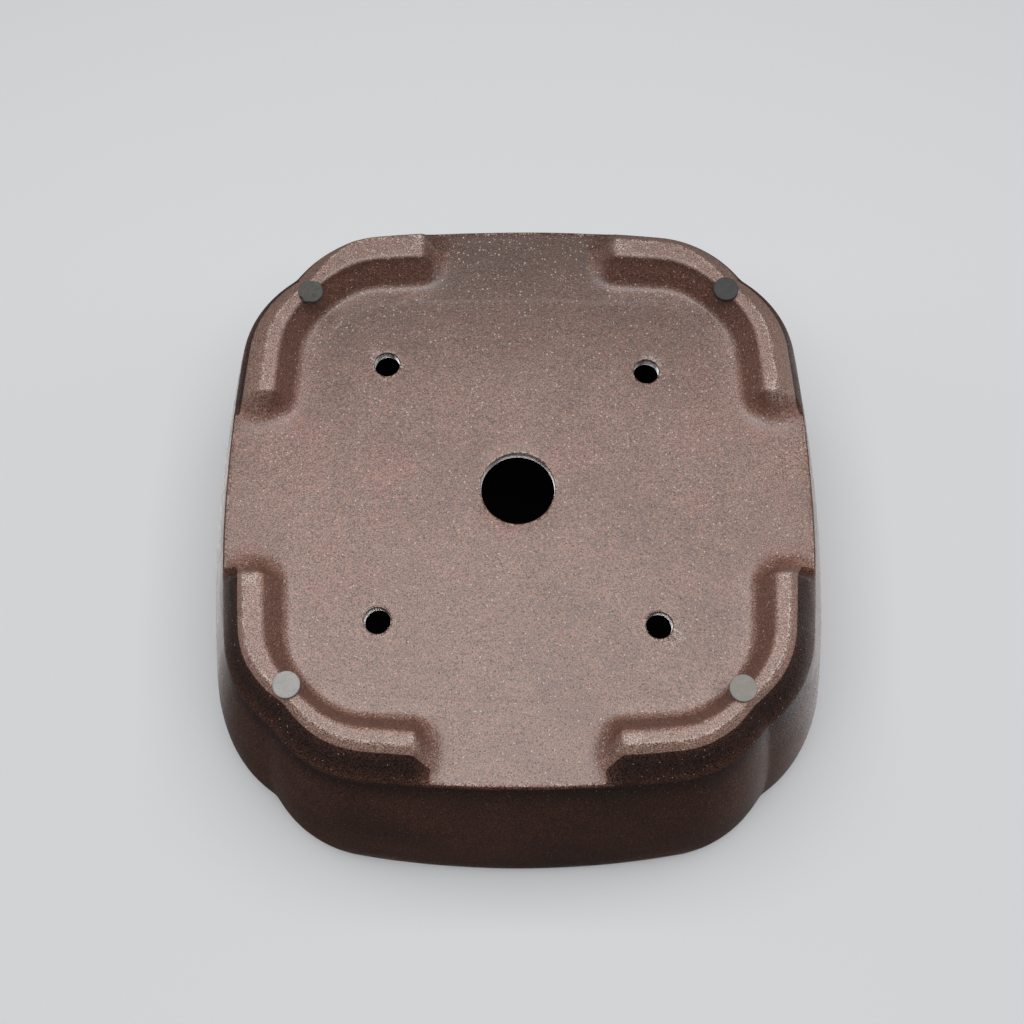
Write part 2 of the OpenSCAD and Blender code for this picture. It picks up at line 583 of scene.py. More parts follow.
@dataclass
class FiredBody:
    """The pot itself: floor, wall, lip and feet in one piece of clay. Sizes are in metres.

    Attributes:
        base: The outline at the underside of the floor.
        rim: The outline at the rim.
        flare_power: How early the wall turns upright: 1 for a straight flare.
        foot_lean: How far the outer face of a foot leans in for each metre of drop, at its top.
        foot_curl: How fast that lean grows further down.
        bank_in: The inset of the foot's inner bank from the outline.
        gap_half: Half of the gap between two feet, without its sloping ends.
        end_shift: By octant, how much further along the foot starts.
        upright: By octant, the share of the lean that a foot has lost at its end.
        burnish_to: By octant, how far down a foot the burnish reaches, from 0 to 1.
        crease: How far the notch's crease is softened at the outline.
        pull: The depth of the slow unevenness of the sides, with swells pull_size across.
        wave: The depth of the floor's own waves, wave_size across.
        inner_crease: How far it is softened at the inner bank.
    """

    base: LobeLine
    rim: LobeLine
    floor_z: float
    seat_z: float
    rim_z: float
    flare_power: float = 1.4
    wall: float = 0.007
    lip: float = 0.004
    lip_from: float = 0.0105
    lip_to: float = 0.0068
    inner_cove: float = 0.008
    rim_roll: float = 0.0022
    foot_h: float = 0.013
    foot_lean: float = 0.308
    foot_curl: float = 20.7
    foot_edge: float = 0.0009
    foot_cuts: tuple[float, ...] = (0, 0.06, 0.16, 0.3, 0.45, 0.6, 0.74, 0.87, 0.96, 1.0)
    bank_in: float = 0.011
    bank: Bank = Bank(0.013, 0.006, 0.0035, math.radians(52))
    end_bank: Bank = Bank(0.013, 0.009, 0.0015, math.radians(65))
    gap_half: float = 0.0239
    end_shift: tuple[float, ...] = (0.0, 0.002, 0.002, 0.0, 0.0, 0.0, 0.0012, 0.0)
    upright: tuple[float, ...] = (0.05, 0.55, 0.3, 0.0, 0.0, 0.0, 0.0, 0.28)
    gap_roll: float = 0.0011
    burnish_to: tuple[float, ...] = (0.4, 0.25, 0.25, 0.4, 0.8, 0.8, 0.8, 0.8)
    crease: float = 0.0015
    inner_crease: float = 0.012
    drain_at: tuple[float, float] = (0.0005, 0.001)
    step_in: float = 0.0055
    step_h: float = 0.00006
    drain_r: float = 0.0135
    hole_lip: float = 0.001
    wire_r: float = 0.0047
    wire_places: tuple[tuple[float, float], ...] = (
        (0.0497, 0.0504), (-0.0480, 0.0475), (-0.0495, -0.0502), (0.0502, -0.0485))
    pull: float = 0.0002
    pull_size: float = 0.035
    wave: float = 0.00018
    wave_size: float = 0.028
    places: Stations = field(init=False)
    bearing: np.ndarray = field(init=False)
    ground_from: np.ndarray = field(init=False)
    piece: bpy.types.Object = field(init=False)

    def stations(self) -> Stations:
        """The places round the outline that every ring shares."""
        cuts = self.end_bank.cuts(4, 3, 4)
        runs = []
        for octant, shift in enumerate(self.end_shift):
            start = self.gap_half + shift
            side_end = 0.98 * float(self.base._shoulder()[2]) * self.base.side_radius / (
                self.base.side_radius - self.base.shoulder_radius)
            gap = np.linspace(0, start, 7)[:-1]
            rest = np.linspace(start + self.end_bank.run, side_end, 6)[1:]
            heights = np.concatenate([gap, start + cuts, rest])
            side = np.array([self.base.side_place(y) for y in heights])
            turn = 2 - np.linspace(1, 0, 22)[:-1] ** 1.25
            along = np.concatenate([side, turn])
            past = np.concatenate([heights - start, np.full(len(turn), heights[-1] - start)])
            share = np.concatenate([self.end_bank.rise(heights - start), np.ones(len(turn))])
            along, share = np.append(along, 2.0), np.append(share, 1.0)
            past = np.append(past, past[-1])
            order = slice(None, -1) if octant % 2 == 0 else slice(None, 0, -1)
            runs.append((along[order], np.full(len(along) - 1, octant), share[order], past[order]))
        return Stations(*(np.concatenate([run[i] for run in runs]) for i in range(4)))

    def level(self, z: float | np.ndarray) -> LobeLine:
        """The outer outline at a height above the ground."""
        left = np.maximum(0, 1 - (z - self.floor_z) / (self.rim_z - self.floor_z))
        return self.base.mixed(self.rim, 1 - left**self.flare_power)

    def ring(self, z: float | np.ndarray, inset: float | np.ndarray,
             **marks: float | np.ndarray) -> Ring:
        """A ring of the body that follows the outline.

        Args:
            z: Its height, one for all or one a station.
            inset: How far inside the outer outline it lies.
            **marks: The finish marks by their names, 0 where none is given.

        Returns:
            The ring.
        """
        soften = np.interp(inset, (0.004, self.bank_in + 0.004), (self.crease, self.inner_crease))
        flat = self.level(z).points(self.places, inset, soften)
        points = np.column_stack([flat, np.broadcast_to(z, len(flat))])
        return Ring(points, self._marks(len(flat), marks))

    @staticmethod
    def _marks(count: int, marks: dict[str, float | np.ndarray]) -> dict[Mark, np.ndarray]:
        """Every mark as one value a station."""
        return {m: np.broadcast_to(marks.get(m.value, 0.0), count).astype(float) for m in Mark}

    def outer_wall(self) -> list[Ring]:
        """Rings down the outside of the wall, from under the rim to the base edge."""
        heights = np.concatenate([np.linspace(self.rim_z - 0.003, self.floor_z + 0.004, 21),
                                  [self.floor_z + 0.0022]])
        # The under-edge mark lays painted shade on the wall just under the base edge.
        return [self.ring(z, 0.0, burnish=1.0, smoke=math.exp(-((z - self.floor_z) / 0.011) ** 2))
                for z in heights]

    def foot_outside(self) -> list[Ring]:
        """Rings down the outer face of the feet and round their lower edge."""
        share = self.places.share
        end_tilt = math.atan(1 / (self.foot_lean + 2 * self.foot_curl * self.foot_h))
        top = self.foot_h - self.foot_edge * (1 - math.cos(end_tilt))
        drops = top * np.array(self.foot_cuts)
        insets = self.foot_lean * drops + self.foot_curl * drops**2
        turns = np.linspace(end_tilt, 0, 5)[1:]
        edge_insets = insets[-1] + self.foot_edge * (math.sin(end_tilt) - np.sin(turns))
        edge_drops = self.foot_h - self.foot_edge * (1 - np.cos(turns))
        to_notch = np.clip((2 - self.places.along) / 0.7, 0, 1)
        lean = 1 - share * np.array(self.upright)[self.places.octant] * to_notch
        bare_from = np.array(self.burnish_to)[self.places.octant]
        rings = []
        all_drops = np.concatenate([drops, edge_drops])
        all_insets = np.concatenate([insets, edge_insets])
        for i, (inset, drop) in enumerate(zip(all_insets, all_drops)):
            back = max(self.gap_roll - inset, 0.0)
            roll = self.gap_roll - math.sqrt(self.gap_roll**2 - back**2)
            z = self.floor_z - drop * share + roll * (1 - share)
            at_edge = 1.0 if i >= len(drops) - 1 else 0.0
            in_gap = float(inset < self.gap_roll)
            low = drop / self.foot_h
            on_foot = np.clip((bare_from - low) / 0.12 + 0.5, 0, 1)
            in_gap_skin = np.clip(1 - inset / 0.0009, 0, 1)
            # The under-edge mark lays painted shade over the middle of each foot's outer face.
            rings.append(self.ring(z, inset * lean,
                                   burnish=np.maximum(np.minimum(1, 3 * share) * on_foot,
                                                      (1 - share) * in_gap_skin),
                                   edge=share * at_edge + (1 - share) * in_gap * (inset > 0),
                                   smoke=share * math.exp(-((low - 0.5) / 0.45) ** 2),
                                   ground=share * (1 - on_foot)))
        self.ground_from = float(all_insets[-1]) * lean
        return rings

    def foot_inside(self) -> list[Ring]:
        """Rings over the ground face of the feet and down their inner bank to the floor."""
        share = self.places.share
        on_end = (share > 0.02) & (share < 0.98)
        rings = []
        wear = share * np.exp(-((self.places.past_end - self.end_bank.run) / 0.005) ** 2)
        for inset in np.linspace(self.ground_from, self.bank_in, 6)[1:-1]:
            rings.append(self.ring(self.floor_z - self.foot_h * share, inset,
                                   ground=share, bank=on_end * 1.0, edge=wear))
        cuts = self.bank.run - self.bank.cuts(6, 4, 6)[::-1]
        for across in cuts:
            rise = float(self.bank.rise(self.bank.run - across))
            # The bank mark, highest halfway up each slope, lays painted shade there.
            steep = math.exp(-((rise - 0.45) / 0.42) ** 2)
            rings.append(self.ring(self.floor_z - self.foot_h * share * rise, self.bank_in + across,
                                   ground=share * max(0.0, (rise - 0.93) / 0.07),
                                   bank=np.maximum(share * steep, on_end * rise),
                                   cove=share * math.exp(-(rise / 0.12) ** 2)))
        return rings

    def underside(self) -> list[Ring]:
        """Rings over the underside of the floor, from the feet in to the drain hole."""
        outer = self.ring(self.floor_z, self.bank_in + self.bank.run).points
        span = float(np.hypot(outer[:, 0], outer[:, 1]).mean()) - self.drain_r
        step = self.step_in / span
        shares = np.concatenate([step * np.array([0.2, 0.45, 0.7, 0.9, 1.0, 1.1, 1.3, 1.6]),
                                 np.linspace(1.6 * step, 1, 15)[1:]])
        heights = self.floor_z + self.step_h * np.clip((shares / step - 0.9) / 0.2, 0, 1)
        rings = self._inwards(outer, heights, shares)
        for ring, share in zip(rings, shares):
            # The cove mark lays a painted highlight along the foot of each bank.
            ring.marks[Mark.COVE] = self.places.share * math.exp(-((share / step) / 0.8) ** 2)
        return rings

    def _circle(self, radius: float, z: float) -> np.ndarray:
        """A circle about the drain hole's middle with one point a station."""
        return circle(self.drain_at, radius, self.bearing, z)

    def _inwards(self, outer: np.ndarray, heights: np.ndarray, shares: np.ndarray) -> list[Ring]:
        """Rings from a lobed outline in to the lip of the drain hole.

        Args:
            outer: The outline's points.
            heights: Each ring's height.
            shares: How far in each ring lies, from 0 to 1.

        Returns:
            The rings.
        """
        hole = self._circle(self.drain_r + self.hole_lip, 0.0)
        rings = []
        for share, height in zip(shares, heights):
            points = outer + (hole - outer) * share
            points[:, 2] = height
            rings.append(Ring(points, self._marks(len(points), {})))
        return rings

    def drain(self) -> list[Ring]:
        """Rings over the lip of the drain hole, through it and over its upper lip."""
        rings = []
        count, low_z = len(self.bearing), self.floor_z + self.step_h
        for turn in np.linspace(0, math.pi / 2, 6)[1:]:
            marks = {"edge": 0.9 * (turn < 1.3), "bore": turn / math.pi * 2}
            rings.append(Ring(self._circle(self.drain_r + self.hole_lip * (1 - math.sin(turn)),
                                           low_z + self.hole_lip * (1 - math.cos(turn))),
                              self._marks(count, marks)))
        for turn in np.linspace(math.pi / 2, 0, 6):
            rings.append(Ring(self._circle(self.drain_r + self.hole_lip * (1 - math.sin(turn)),
                                           self.seat_z - self.hole_lip * (1 - math.cos(turn))),
                              self._marks(count, {"bore": 1.0})))
        return rings

    def inside(self) -> list[Ring]:
        """Rings over the floor's upper face, up the inner wall and over the lip and the rim."""
        cove, roll = self.inner_cove, self.rim_roll
        outer = self.ring(self.seat_z, self.wall + cove).points
        shares = np.linspace(1, 0, 12)[1:]
        rings = self._inwards(outer, np.full(len(shares), self.seat_z), shares)
        for turn in np.linspace(0, math.pi / 2, 7)[1:]:
            rings.append(self.ring(self.seat_z + cove * (1 - math.cos(turn)),
                                   self.wall + cove * (1 - math.sin(turn))))
        lip_z = self.rim_z - self.lip_from
        for z in np.linspace(self.seat_z + cove, lip_z, 13)[1:]:
            rings.append(self.ring(z, self.wall))
        for share in np.linspace(0, 1, 6)[1:]:
            rings.append(self.ring(lip_z + share * (self.lip_from - self.lip_to),
                                   self.wall + self.lip * share**2 * (3 - 2 * share)))
        inner = self.wall + self.lip
        rings.append(self.ring(self.rim_z - 0.004, inner))
        for turn in np.linspace(0, math.pi / 2, 6):
            rings.append(self.ring(self.rim_z - roll * (1 - math.sin(turn)),
                                   inner - roll * (1 - math.cos(turn)), burnish=0.6))
        for inset in np.linspace(inner - roll, roll, 5)[1:]:
            rings.append(self.ring(self.rim_z, inset, burnish=1.0))
        for turn in np.linspace(0, math.pi / 2, 6)[1:-1]:
            rings.append(self.ring(self.rim_z - roll * (1 - math.cos(turn)),
                                   roll * (1 - math.sin(turn)), burnish=1.0))
        return rings

    def handmade(self, ring: Ring) -> np.ndarray:
        """A ring's points with the slow unevenness of a pressed and trimmed pot."""
        points = ring.points.copy()
        radius = np.hypot(points[:, 0], points[:, 1])
        room = np.clip((radius - 0.02) / 0.04, 0, 1)
        pull = room * (self.pull + wobble(points, self.pull_size, self.pull, 3.1))
        points[:, :2] *= (1 - pull / np.maximum(radius, 0.01))[:, None]
        inner = (points[:, 2] > self.floor_z - 0.004) & (points[:, 2] < self.rim_z - 0.02)
        waves = room * wobble(points, self.wave_size, self.wave, 7.7)
        points[:, 2] += np.where(inner, waves, 0)
        return points

    def build(self) -> bpy.types.Object:
        """Draws the body up ring after ring and cuts the wire holes.

        Returns:
            The piece.
        """
        self.places = self.stations()
        outline = self.base.points(self.places, 0.03, self.crease)
        self.bearing = np.unwrap(np.arctan2(outline[:, 1], outline[:, 0]))
        rings = (self.outer_wall() + self.foot_outside() + self.foot_inside() + self.underside()
                 + self.drain() + self.inside())
        shapes = [self.handmade(ring) for ring in rings]
        skin = RingSkin("fired_body", shapes[0])
        for shape in shapes[1:] + shapes[:1]:
            skin.grow(shape)
        self.piece = skin.done()
        self._cut_wire_holes()
        self._write_marks(np.concatenate(shapes), rings)
        smooth(self.piece, 38)
        return self.piece

    def _cut_wire_holes(self) -> None:
        """Cuts four flared holes through the floor."""
        lip, over = 0.0008, 0.002
        turns = np.linspace(0, math.pi / 2, 6)
        low = [(self.wire_r + lip * (1 - math.sin(t)), self.floor_z + self.step_h
                + lip * (1 - math.cos(t))) for t in turns]
        high = [(r, self.floor_z + self.seat_z + self.step_h - z) for r, z in reversed(low)]
        profile = [(low[0][0] + over, self.floor_z - over), *low, *high,
                   (high[-1][0] + over, self.seat_z + over)]
        bearings = np.linspace(0, 2 * math.pi, 64, endpoint=False)
        shapes = [circle((0, 0), radius, bearings, z) for radius, z in profile]
        skin = RingSkin("hole_cutter", shapes[0])
        for shape in shapes[1:]:
            skin.grow(shape)
        skin.cap()
        skin.cap_first()
        first = skin.done()
        cutters = []
        for x, y in self.wire_places:
            cutter = first.copy()
            cutter.data = first.data.copy()
            bpy.context.scene.collection.objects.link(cutter)
            cutter.data.transform(Matrix.Translation((x, y, 0)))
            cutters.append(cutter)
        bpy.data.objects.remove(first)
        take(cutters[0])
        for cutter in cutters[1:]:
            cutter.select_set(True)
        bpy.ops.object.join()
        take(self.piece)
        cut = self.piece.modifiers.new("wire_holes", "BOOLEAN")
        cut.operation, cut.solver, cut.object = "DIFFERENCE", "EXACT", cutters[0]
        bpy.ops.object.modifier_apply(modifier=cut.name)
        bpy.data.objects.remove(cutters[0])
        bpy.ops.object.mode_set(mode="EDIT")
        bpy.ops.mesh.select_all(action="SELECT")
        bpy.ops.mesh.remove_doubles(threshold=5e-6)
        bpy.ops.object.mode_set(mode="OBJECT")

    def _write_marks(self, points: np.ndarray, rings: list[Ring]) -> None:
        """Writes every mark onto the mesh, from the nearest point of the rings.

        Args:
            points: The points of all rings in order.
            rings: The rings.
        """
        tree = kdtree.KDTree(len(points))
        for index, point in enumerate(points):
            tree.insert(point, index)
        tree.balance()
        vertices = self.piece.data.vertices
        near = np.array([tree.find(v.co)[1] for v in vertices])
        place = np.array([v.co for v in vertices])
        reach = np.min([np.hypot(place[:, 0] - x, place[:, 1] - y) for x, y in self.wire_places],
                       axis=0) - self.wire_r
        in_floor = place[:, 2] < self.seat_z + 0.0001
        extra = {Mark.EDGE: in_floor * np.clip((0.0009 - reach) / 0.0004, 0, 1)
                 * (place[:, 2] < self.floor_z + self.step_h + 0.0006),
                 Mark.BORE: in_floor * np.clip((0.0005 - reach) / 0.0004, 0, 1)}
        for mark in Mark:
            values = np.concatenate([ring.marks[mark] for ring in rings])[near]
            if mark in extra:
                values = np.maximum(values, extra[mark])
            layer = self.piece.data.attributes.new(mark.value, "FLOAT", "POINT")
            layer.data.foreach_set("value", values.astype(np.float32))

    def dress(self, clay: "FiredClay") -> None:
        """Gives the body its clay finish."""
        self.piece.data.materials.clear()
        self.piece.data.materials.append(clay.material())


# ---------------------------------------------------------------------------------------------
# Pads
# ---------------------------------------------------------------------------------------------


@dataclass(eq=False)
class FootPad:
    """A stick-on pad of grey foam rubber with its adhesive film, under one foot.

    Attributes:
        corner: The corner of the pot that it lies at.
        slide: How far it was stuck off its place, in metres.
        fray: How far its rim is torn in, in metres.
        seed: Moves the pattern of the tears.
        worn: How much smaller than new its radius is, in metres.
        stations: How many points go round it.
        roll: The radius of its rolled edges, in metres.
    """

    corner: Corner
    slide: tuple[float, float] = (0.0, 0.0)
    fray: float = 0.0
    seed: float = 0.0
    worn: float = 0.0003
    stations: int = 96
    roll: float = 0.0004
    pieces: list[bpy.types.Object] = field(init=False, default_factory=list)

    def build(self) -> list[bpy.types.Object]:
        """Models the pad and its film.

        Returns:
            The pad and the film.
        """
        pad = f"pad_{self.corner.tag}"
        film = f"pad_film_{self.corner.tag}"
        for name, node, fray in ((f"foam_{pad}", pad, self.fray), (f"glue_{film}", film, 0.0)):
            low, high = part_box(node)
            self.pieces.append(self._disc(name, low, high, fray))
        return self.pieces

    def _disc(self, name: str, low: Vector, high: Vector, fray: float) -> bpy.types.Object:
        """A disc with rolled edges whose rim is uneven.

        Args:
            name: The piece's name.
            low: The lowest corner of its space.
            high: The highest corner of its space.
            fray: How far the rim may be torn in, in metres.

        Returns:
            The piece.
        """
        middle = (low + high) / 2 + Vector((*self.slide, 0))
        radius = (high.x - low.x) / 2 - self.worn
        thick = high.z - low.z
        roll = min(self.roll, thick * 0.4)
        turns = np.linspace(0, math.pi / 2, 5)
        profile = [(share * (radius - roll), low.z) for share in (0.12, 0.3, 0.5, 0.7, 0.87)]
        profile += [(radius - roll * (1 - math.sin(t)), low.z + roll * (1 - math.cos(t)))
                    for t in turns]
        profile += [(radius - 0.3 * roll * math.sin(t), high.z - 0.5 * roll * (1 - math.sin(t)))
                    for t in turns]
        profile += [(share * (radius - roll), high.z) for share in (0.85, 0.5, 0.15)]
        bearings = np.linspace(0, 2 * math.pi, self.stations, endpoint=False)
        ragged = np.array([
            noise.noise((math.cos(b) * 1.5 + self.seed, math.sin(b) * 1.5, self.seed))
            for b in bearings])
        torn = np.clip(ragged * 1.6, 0, 1) * fray

        centre = (middle.x, middle.y)
        shapes = []
        for across, z in profile:
            edge = across - torn * (across / radius) ** 4 - 0.00004 * (1 + ragged)
            shapes.append(circle(centre, edge, bearings, z))
        skin = RingSkin(name, shapes[0])
        for shape in shapes[1:]:
            skin.grow(shape)
        skin.cap()
        skin.cap_first()
        piece = skin.done()
        smooth(piece, 50)
        return piece

    def dress(self, foam: "PadFoam", film: "AdhesiveFilm") -> None:
        """Gives the pad its foam finish and the film its own."""
        for piece, finish in zip(self.pieces, (foam, film)):
            piece.data.materials.clear()
            piece.data.materials.append(finish.material())


# ---------------------------------------------------------------------------------------------
# Finishes
# ---------------------------------------------------------------------------------------------


@dataclass(frozen=True)
class FiredClay:
    """Unglazed stoneware: bare underneath and with a burnish on the outside; painted shade and
    painted highlights are laid into its colours.
    """

    bare: Colour = (0.215, 0.116, 0.086)
    bare_dark: Colour = (0.165, 0.086, 0.064)
    pink: Colour = (0.225, 0.105, 0.080)
    # Dark tone of the painted shade towards the underside's back edge.
    blush: Colour = (0.060, 0.024, 0.014)
    # Outer tones: partly the clay's own darker burnish, partly painted shade on the outer wall.
    burnished: Colour = (0.098, 0.040, 0.026)
    burnished_dark: Colour = (0.055, 0.025, 0.018)
    # Darker tone of the painted shade on the feet's inner banks.
    bank: Colour = (0.15, 0.07, 0.05)
    # Pale worn tone of the ground feet and rubbed edges, also the painted highlight in the coves.
    worn: Colour = (0.30, 0.185, 0.15)
    grit: Colour = (0.66, 0.55, 0.48)
    # Dark grain specks, and the painted shade inside the holes.
    soot: Colour = (0.035, 0.018, 0.015)
    # Near-black of the painted shade under the base edge and on the feet's outer faces.
    char: Colour = (0.014, 0.008, 0.007)

    def material(self) -> bpy.types.Material:
        """Builds the clay's material."""
        sheet = ShaderSheet("fired_clay")
        swell = sheet.noise(0.05, 3, 0.5)
        mottle = sheet.noise(0.011, 4, 0.6)
        sand = sheet.noise(0.0034, 3, 0.6)
        tooth = sheet.noise(0.00048, 1, 0.7)
        burnish = sheet.mark(Mark.BURNISH)
        ground = sheet.mark(Mark.GROUND)
        bank = sheet.mark(Mark.BANK)
        cove = sheet.mark(Mark.COVE)
        edge = sheet.mark(Mark.EDGE)
        bore = sheet.mark(Mark.BORE)
        smoke = sheet.mark(Mark.SMOKE)
        skin = (burnish + (sand - 0.5) * 0.3).step(0.42, 0.58)
        pale = sheet.grains(0.0020, 0.20, 0.45)
        fine_pale = sheet.grains(0.0010, 0.32, 0.40, 0.31)
        dark = sheet.grains(0.0009, 0.36, 0.40, 0.77)

        colour = sheet.blend((mottle * 0.5 + swell * 0.5).step(0.35, 0.65), self.bare_dark,
                             self.bare)
        colour = sheet.blend((sheet.noise(0.02, 2, 0.5, self._turned(sheet))).step(0.5, 0.7) * 0.6,
                             colour, self.pink)
        # Painted shade: the bare clay darkens towards the pot's back edge.
        colour = sheet.blend(self._near_back(sheet) * 0.85, colour, self.blush)
        # Painted highlight: the coves at the feet of the banks are lightened with the worn tone.
        colour = sheet.blend(cove * 0.3, colour, self.worn)
        # Painted shade: the inner banks darken, most halfway up their slope.
        colour = sheet.blend(bank.step(0.1, 0.9) * 0.8, colour, self.bank)
        colour = sheet.blend(ground * (0.35 + sand * 0.5), colour, self.worn)
        colour = sheet.blend(1.0, colour, self._shade(sheet, tooth, 0.4, 1.6), "MULTIPLY")
        colour = sheet.blend(pale * 0.65, colour, self.grit)
        colour = sheet.blend(fine_pale * 0.38, colour, self.grit)
        colour = sheet.blend(dark * 0.45, colour, self.soot)
        # Pale specks on edges: real wear near the foot ends, and painted highlights along the
        # feet's lower edges, the gap edges and the hole lips.
        scuff = edge * tooth.step(0.46, 0.6) * sand.step(0.35, 0.6)
        colour = sheet.blend(scuff * 0.75, colour, self.grit)
        # Painted shade: the walls of the drain and wire holes are darkened almost to black.
        colour = sheet.blend(bore.step(0.3, 0.9) * 0.93, colour, self.soot)

        # The outer wall's dark tone is partly its own burnish and partly painted shade.
        outside = sheet.blend((swell * 0.7 + mottle * 0.3).step(0.35, 0.68), self.burnished_dark,
                              self.burnished)
        # Painted shade: near-black under the base edge and on the feet's outer faces.
        outside = sheet.blend(smoke * 0.85, outside, self.char)
        outside = sheet.blend(1.0, outside, self._shade(sheet, tooth, 0.1, 2.1), "MULTIPLY")
        rare = sheet.grains(0.0015, 0.16, 0.30, 0.11)
        outside = sheet.blend(rare * 0.7, outside, self.grit)
        outside = sheet.blend(scuff * 0.5, outside, self.worn)

        normal = sheet.bump(sheet.noise(0.006, 3, 0.5), 0.0004, strength=0.35)
        normal = sheet.bump(sand, 0.00018, normal, 0.5)
        rough_normal = sheet.bump(tooth, 0.00013, normal, 0.8)
        rough_normal = sheet.bump(pale + fine_pale - dark, 0.0001, rough_normal, 0.5)
        fine_normal = sheet.bump(tooth, 0.0002, normal, 1.0)
        bare_clay = sheet.add("ShaderNodeBsdfPrincipled", None, {
            "Base Color": colour, "Roughness": 0.42 + (tooth - 0.5) * 0.2 + ground * 0.08,
            "Normal": rough_normal, "Specular IOR Level": 0.8})
        burnished_clay = sheet.add("ShaderNodeBsdfPrincipled", None, {
            "Base Color": outside, "Roughness": 0.6 + (mottle - 0.5) * 0.2,
            "Normal": fine_normal, "Specular IOR Level": 0.24})
        sheet.add_output(sheet.add("ShaderNodeMixShader", None, {
            "Fac": skin, "Shader": bare_clay, "Shader_001": burnished_clay}))
        return sheet.material

    @staticmethod
    def _near_back(sheet: ShaderSheet) -> Signal:
        """Rises from 0 to 1 towards the pot's back edge, where it lays painted shade."""
        return sheet.add("ShaderNodeSeparateXYZ", None, {"Vector": sheet.place},
                         output="Y").step(0.015, 0.105)

    @staticmethod
    def _turned(sheet: ShaderSheet) -> Signal:
        """Coordinates turned and moved, for a pattern of its own."""
        return sheet.add("ShaderNodeMapping", None, {
            "Vector": sheet.place, "Location": (0.3, 0.1, 0.7), "Rotation": (0.4, 0.9, 0.2)})

    @staticmethod
    def _shade(sheet: ShaderSheet, grain: Signal, low: float, high: float) -> Signal:
        """Turns a grain into a grey that darkens and lightens what it multiplies.

        Args:
            sheet: The shader.
            grain: The grain from 0 to 1.
            low: The grey at the dark end.
            high: The grey at the light end.

        Returns:
            The grey.
        """
        level = grain.step(0.36, 0.64) * (high - low) + low
        return sheet.add("ShaderNodeCombineColor", None,
                         {"Red": level, "Green": level, "Blue": level})


@dataclass(frozen=True)
class PadFoam:
    """Grey foam rubber with a fine grain."""

    name: str
    tone: Colour
    dark: Colour

    def material(self) -> bpy.types.Material:
        """Builds the foam's material."""
        sheet = ShaderSheet(self.name)
        grain = sheet.noise(0.0006, 4, 0.7)
        cloud = sheet.noise(0.003, 3, 0.6)
        colour = sheet.blend((grain * 0.6 + cloud * 0.4).step(0.3, 0.68), self.dark, self.tone)
        normal = sheet.bump(grain, 0.00015, strength=0.7)
        return sheet.finish({"Base Color": colour, "Roughness": 0.8, "Normal": normal})


@dataclass(frozen=True)
class AdhesiveFilm:
    """Adhesive film, a little dusty, whose near-black tone is painted shade round each pad."""

    # Near-black: painted shade round the pad's edge.
    tone: Colour = (0.02, 0.019, 0.019)
    dust: Colour = (0.12, 0.1, 0.09)
    name: str = "adhesive_film"

    def material(self) -> bpy.types.Material:
        """Builds the film's material."""
        sheet = ShaderSheet(self.name)
        dust = sheet.noise(0.0008, 3, 0.6)
        colour = sheet.blend(dust.step(0.55, 0.75), self.tone, self.dust)
        normal = sheet.bump(dust, 0.00005, strength=0.5)
        return sheet.finish({"Base Color": colour, "Roughness": 0.5, "Normal": normal})


@dataclass(frozen=True)
class TableTop:
    """Pale paper that shows only on its front, so that either floor can be looked through."""

    tone: Colour
    name: str
    dark_within: float = 0.0

    def material(self) -> bpy.types.Material:
        """Builds the paper's material."""
        sheet = ShaderSheet(self.name)
        colour: Signal | Colour = self.tone
        if self.dark_within > 0:
            flat = sheet.add("ShaderNodeVectorMath", {"operation": "MULTIPLY"},
                             {"Vector": sheet.place, "Vector_001": (1.0, 1.0, 0.0)})
            reach = sheet.add("ShaderNodeVectorMath", {"operation": "LENGTH"}, {"Vector": flat},
                              output="Value")
            # Painted shade: the paper inside the pot's mouth is near-black.
            colour = sheet.blend(reach.step(self.dark_within, self.dark_within + 0.001),
                                 (0.002, 0.002, 0.002), self.tone)
        paper = sheet.add("ShaderNodeBsdfPrincipled", None,
                          {"Base Color": colour, "Roughness": 0.9, "Specular IOR Level": 0.1})
        clear = sheet.add("ShaderNodeBsdfTransparent")
        back = sheet.add("ShaderNodeNewGeometry", output="Backfacing")
        mix = sheet.add("ShaderNodeMixShader", None,
                        {"Fac": back, "Shader": paper, "Shader_001": clear})
        sheet.add_output(mix)
        return sheet.material


# ---------------------------------------------------------------------------------------------
# Studio
# ---------------------------------------------------------------------------------------------


@dataclass(frozen=True)
class SoftLight:
    """A soft rectangular lamp."""

    name: str
    place: tuple[float, float, float]
    aim: tuple[float, float, float]
    size: tuple[float, float]
    power: float

    def build(self) -> None:
        """Adds the lamp."""
        turn = (Vector(self.aim) - Vector(self.place)).to_track_quat("-Z", "Y").to_euler()
        bpy.ops.object.light_add(type="AREA", location=self.place, rotation=turn)
        lamp = bpy.context.object
        lamp.name = self.name
        lamp.data.shape = "RECTANGLE"
        lamp.data.size, lamp.data.size_y = self.size
        lamp.data.energy = self.power
        lamp.visible_camera = False


